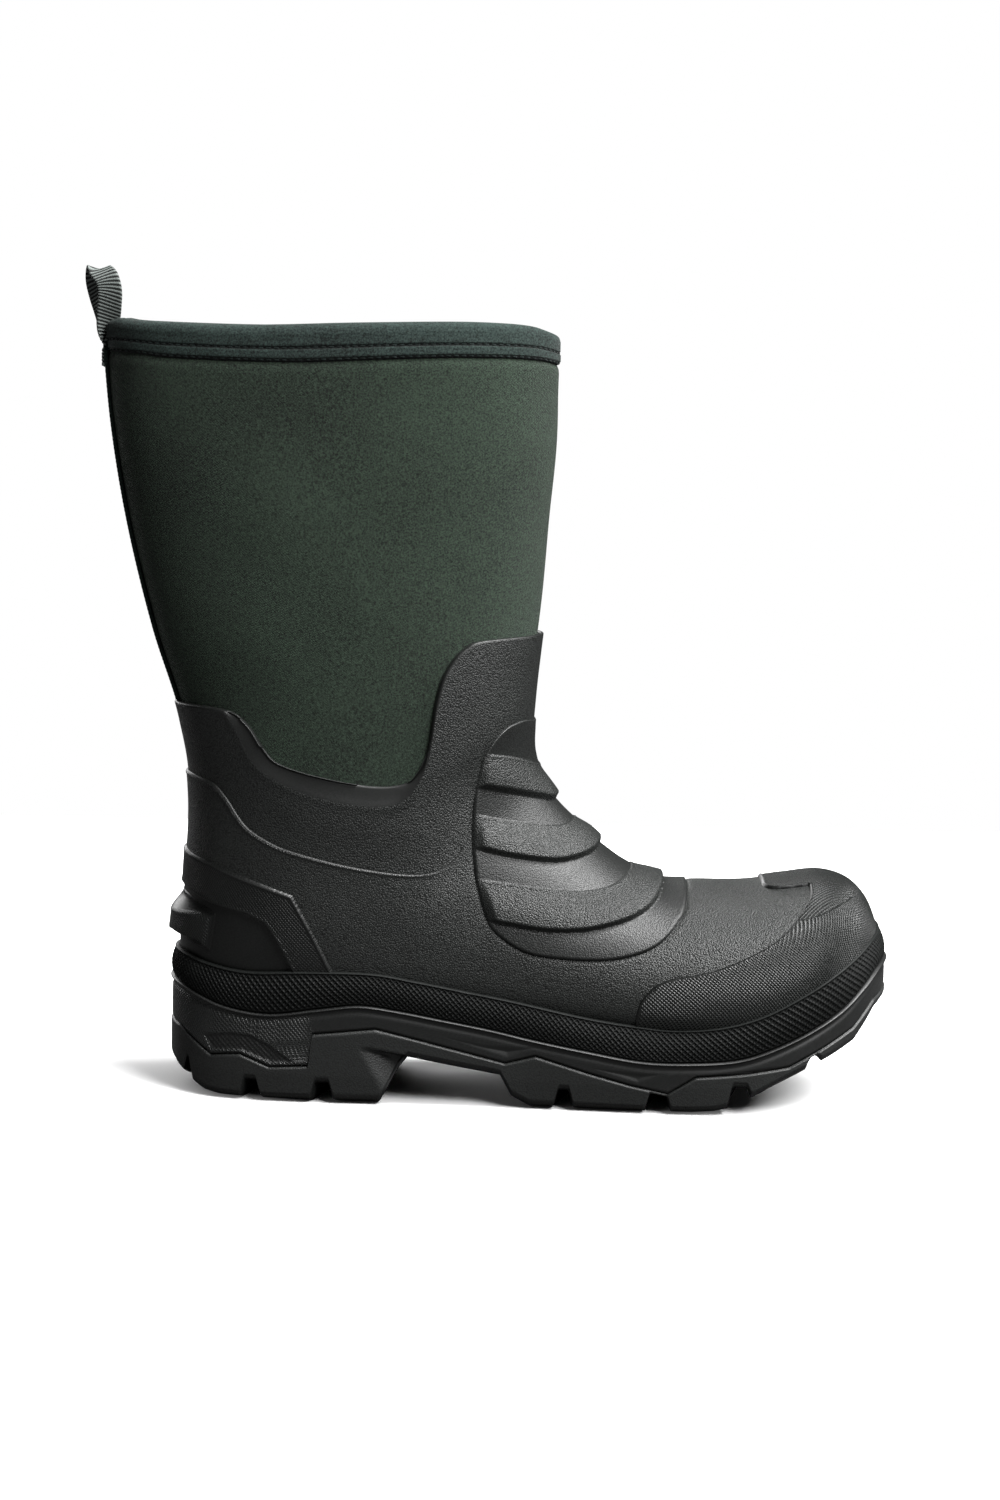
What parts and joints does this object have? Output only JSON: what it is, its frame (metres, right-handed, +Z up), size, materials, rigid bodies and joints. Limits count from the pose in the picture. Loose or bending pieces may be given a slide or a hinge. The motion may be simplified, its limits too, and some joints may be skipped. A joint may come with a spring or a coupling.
{
  "type": "insulated hunting boot",
  "caption": "Pull-on insulated boot: dark green neoprene leg, layered black-green rubber shell with ribbed instep guard, knurled rand and lugged outsole.",
  "frame": {"origin": "middle of the boot's bounding box on the ground, under the outsole lugs", "axes": "+X from heel to toe, +Y to the inner side of the right foot, -Y to the outer side, +Z up the leg"},
  "size_m": [0.357, 0.1155, 0.3585],
  "materials": {
    "outsole_rubber": "matt moulded rubber",
    "midsole_rubber": "satin moulded rubber, knurled bands",
    "upper_rubber": "satin rubber with a fine pebble grain",
    "shank_steel": "plain strip steel",
    "neoprene": "jersey-faced neoprene foam, dark green",
    "fibreboard": "pressed fibre sheet",
    "insulation_wadding": "bonded microfibre wadding",
    "fleece_lining": "short-pile fleece",
    "footbed_foam": "open-cell foam",
    "binding_fabric": "knitted binding, slightly bluer than the leg",
    "webbing": "ribbed nylon webbing"
  },
  "bodies": {
    "foot": {"outsole": "outsole_rubber", "midsole": "midsole_rubber", "rand": "midsole_rubber", "rubber_shell": "upper_rubber", "foot_overlay": "upper_rubber", "instep_guard": "upper_rubber", "toe_cap": "upper_rubber", "heel_counter": "upper_rubber", "heel_kick": "midsole_rubber", "shank": "shank_steel", "neoprene_bootie": "neoprene", "toe_puff": "fibreboard", "heel_stiffener": "fibreboard", "insulation": "insulation_wadding", "foot_lining": "fleece_lining", "insole_board": "fibreboard", "footbed": "footbed_foam", "footbed_cover": "fleece_lining"},
    "leg": {"neoprene_leg": "neoprene", "leg_lining": "fleece_lining", "top_binding": "binding_fabric", "back_tape": "webbing", "inner_seam_tape": "webbing", "loop_tab": "webbing"},
    "loop": {"pull_loop": "webbing"}
  },
  "joints": [
    {"name": "ankle_flex", "type": "hinge", "parent": "foot", "child": "leg", "pos_m": [-0.05, 0, 0.125], "axis": [0, 1, 0], "range_deg": [-10, 20], "stiffness_Nm_per_rad": 4, "deforming": ["rubber_shell", "foot_overlay", "instep_guard", "neoprene_bootie", "insulation", "foot_lining", "neoprene_leg", "leg_lining", "back_tape", "inner_seam_tape"]},
    {"name": "loop_swing", "type": "hinge", "parent": "leg", "child": "loop", "pos_m": [-0.17285, 0, 0.3232], "axis": [0, 1, 0], "range_deg": [-80, 4], "stiffness_Nm_per_rad": 0.02}
  ]
}
